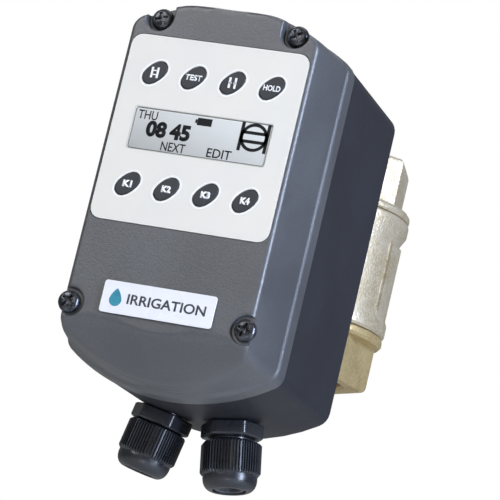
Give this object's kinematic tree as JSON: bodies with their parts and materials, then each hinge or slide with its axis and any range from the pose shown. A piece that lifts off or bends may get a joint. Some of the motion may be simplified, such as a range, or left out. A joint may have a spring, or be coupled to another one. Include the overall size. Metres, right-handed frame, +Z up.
{
  "type": "motorised ball valve with irrigation timer head",
  "caption": "Motorised ball valve with a rounded grey timer head, keypad, display and two cable glands, for switching an irrigation line.",
  "frame": {"origin": "centre of the valve ball, where the pipe axis crosses the stem axis", "axes": "+X right as the keypad is read, +Y from the keypad back towards the valve, +Z up the pipe axis"},
  "size_m": [0.0804, 0.1906, 0.1627],
  "materials": {
    "cover_grey": "satin graphite paint",
    "housing_grey": "fine matt grain",
    "fascia_white": "printed polyester foil",
    "plate_white": "printed foil",
    "window_clear": "clear acrylic",
    "key_charcoal": "printed rubber",
    "black_nylon": "moulded nylon",
    "seal_rubber": "matt",
    "black_steel": "black oxide",
    "bright_steel": "zinc plated",
    "nickel_brass": "nickel plated",
    "chrome_ball": "polished",
    "brass": "machined",
    "ptfe_white": "PTFE",
    "gear_cream": "acetal",
    "board_green": "solder mask",
    "part_black": "moulded",
    "terminal_green": "moulded",
    "core_steel": "laminated steel",
    "ribbon_grey": "PVC"
  },
  "bodies": {
    "housing": {"adapter_screw_1": "bright_steel", "adapter_screw_2": "bright_steel", "coin_cell": "bright_steel", "control_board": "board_green", "cover_gasket": "seal_rubber", "cover_screw_1": "black_steel", "cover_screw_2": "black_steel", "cover_screw_3": "black_steel", "cover_screw_4": "black_steel", "display_window": "window_clear", "front_cover": "cover_grey", "gear_axle": "bright_steel", "gear_motor": "bright_steel", "gear_plate": "bright_steel", "gland_body_left": "black_nylon", "gland_body_right": "black_nylon", "gland_locknut_left": "black_nylon", "gland_locknut_right": "black_nylon", "keypad_fascia": "fascia_white", "lcd_module": "core_steel", "limit_switch_closed": "part_black", "limit_switch_open": "part_black", "name_plate": "plate_white", "output_bush": "brass", "packing_nut": "brass", "plate_screw_1": "bright_steel", "plate_screw_2": "bright_steel", "power_board": "board_green", "rear_housing": "housing_grey", "ribbon_cable": "ribbon_grey", "seat_ring_lower": "ptfe_white", "seat_ring_upper": "ptfe_white", "shaft_seal": "seal_rubber", "stem_packing": "ptfe_white", "terminal_block": "terminal_green", "transformer": "core_steel", "valve_adapter": "black_nylon", "valve_body": "nickel_brass", "valve_end_lower": "nickel_brass", "valve_end_upper": "nickel_brass"},
    "drive": {"valve_ball": "chrome_ball", "valve_stem": "bright_steel", "drive_coupling": "bright_steel", "output_shaft": "bright_steel", "output_gear": "gear_cream", "limit_cam": "part_black"},
    "compound": {"compound_gear": "gear_cream"},
    "pinion": {"motor_pinion": "brass"},
    "key_auto": {"key_auto": "key_charcoal"},
    "key_close": {"key_close": "key_charcoal"},
    "key_mode": {"key_mode": "key_charcoal"},
    "key_open": {"key_open": "key_charcoal"},
    "key_soft_1": {"key_soft_1": "key_charcoal"},
    "key_soft_2": {"key_soft_2": "key_charcoal"},
    "key_soft_3": {"key_soft_3": "key_charcoal"},
    "key_soft_4": {"key_soft_4": "key_charcoal"},
    "insert_left": {"gland_insert_left": "seal_rubber"},
    "cap_left": {"gland_cap_left": "black_nylon"},
    "insert_right": {"gland_insert_right": "seal_rubber"},
    "cap_right": {"gland_cap_right": "black_nylon"}
  },
  "joints": [
    {"name": "key_auto_press", "type": "slide", "parent": "housing", "child": "key_auto", "axis": [0, 1, 0], "range_m": [0, 0.0005], "stiffness_N_per_m": 800},
    {"name": "key_close_press", "type": "slide", "parent": "housing", "child": "key_close", "axis": [0, 1, 0], "range_m": [0, 0.0005], "stiffness_N_per_m": 800},
    {"name": "key_mode_press", "type": "slide", "parent": "housing", "child": "key_mode", "axis": [0, 1, 0], "range_m": [0, 0.0005], "stiffness_N_per_m": 800},
    {"name": "key_open_press", "type": "slide", "parent": "housing", "child": "key_open", "axis": [0, 1, 0], "range_m": [0, 0.0005], "stiffness_N_per_m": 800},
    {"name": "key_soft_1_press", "type": "slide", "parent": "housing", "child": "key_soft_1", "axis": [0, 1, 0], "range_m": [0, 0.0005], "stiffness_N_per_m": 800},
    {"name": "key_soft_2_press", "type": "slide", "parent": "housing", "child": "key_soft_2", "axis": [0, 1, 0], "range_m": [0, 0.0005], "stiffness_N_per_m": 800},
    {"name": "key_soft_3_press", "type": "slide", "parent": "housing", "child": "key_soft_3", "axis": [0, 1, 0], "range_m": [0, 0.0005], "stiffness_N_per_m": 800},
    {"name": "key_soft_4_press", "type": "slide", "parent": "housing", "child": "key_soft_4", "axis": [0, 1, 0], "range_m": [0, 0.0005], "stiffness_N_per_m": 800},
    {"name": "valve_turn", "type": "hinge", "parent": "housing", "child": "drive", "pos_m": [0, 0, 0], "axis": [0, 1, 0], "range_deg": [0, 90]},
    {"name": "compound_turn", "type": "hinge", "parent": "housing", "child": "compound", "pos_m": [0, -0.084, 0.03], "axis": [0, 1, 0], "range_deg": [-360, 0]},
    {"name": "motor_turn", "type": "hinge", "parent": "housing", "child": "pinion", "pos_m": [-0.0144, -0.089, 0.0192], "axis": [0, 1, 0], "range_deg": [0, 1080]},
    {"name": "gland_travel_left", "type": "slide", "parent": "housing", "child": "insert_left", "axis": [-0.1871, 0, -0.9823], "range_m": [0, 0.0015]},
    {"name": "gland_cap_turn_left", "type": "hinge", "parent": "insert_left", "child": "cap_left", "pos_m": [-0.01535, -0.0995, -0.09655], "axis": [-0.1871, 0, -0.9823], "range_deg": [0, 360]},
    {"name": "gland_travel_right", "type": "slide", "parent": "housing", "child": "insert_right", "axis": [0.1871, 0, -0.9823], "range_m": [0, 0.0015]},
    {"name": "gland_cap_turn_right", "type": "hinge", "parent": "insert_right", "child": "cap_right", "pos_m": [0.01535, -0.0995, -0.09655], "axis": [0.1871, 0, -0.9823], "range_deg": [0, 360]}
  ],
  "couplings": [
    {"joint": "compound_turn", "follows": "valve_turn", "ratio": -4},
    {"joint": "motor_turn", "follows": "valve_turn", "ratio": 12},
    {"joint": "gland_cap_turn_left", "follows": "gland_travel_left", "rad_per_m": 4188.8},
    {"joint": "gland_cap_turn_right", "follows": "gland_travel_right", "rad_per_m": 4188.8}
  ]
}
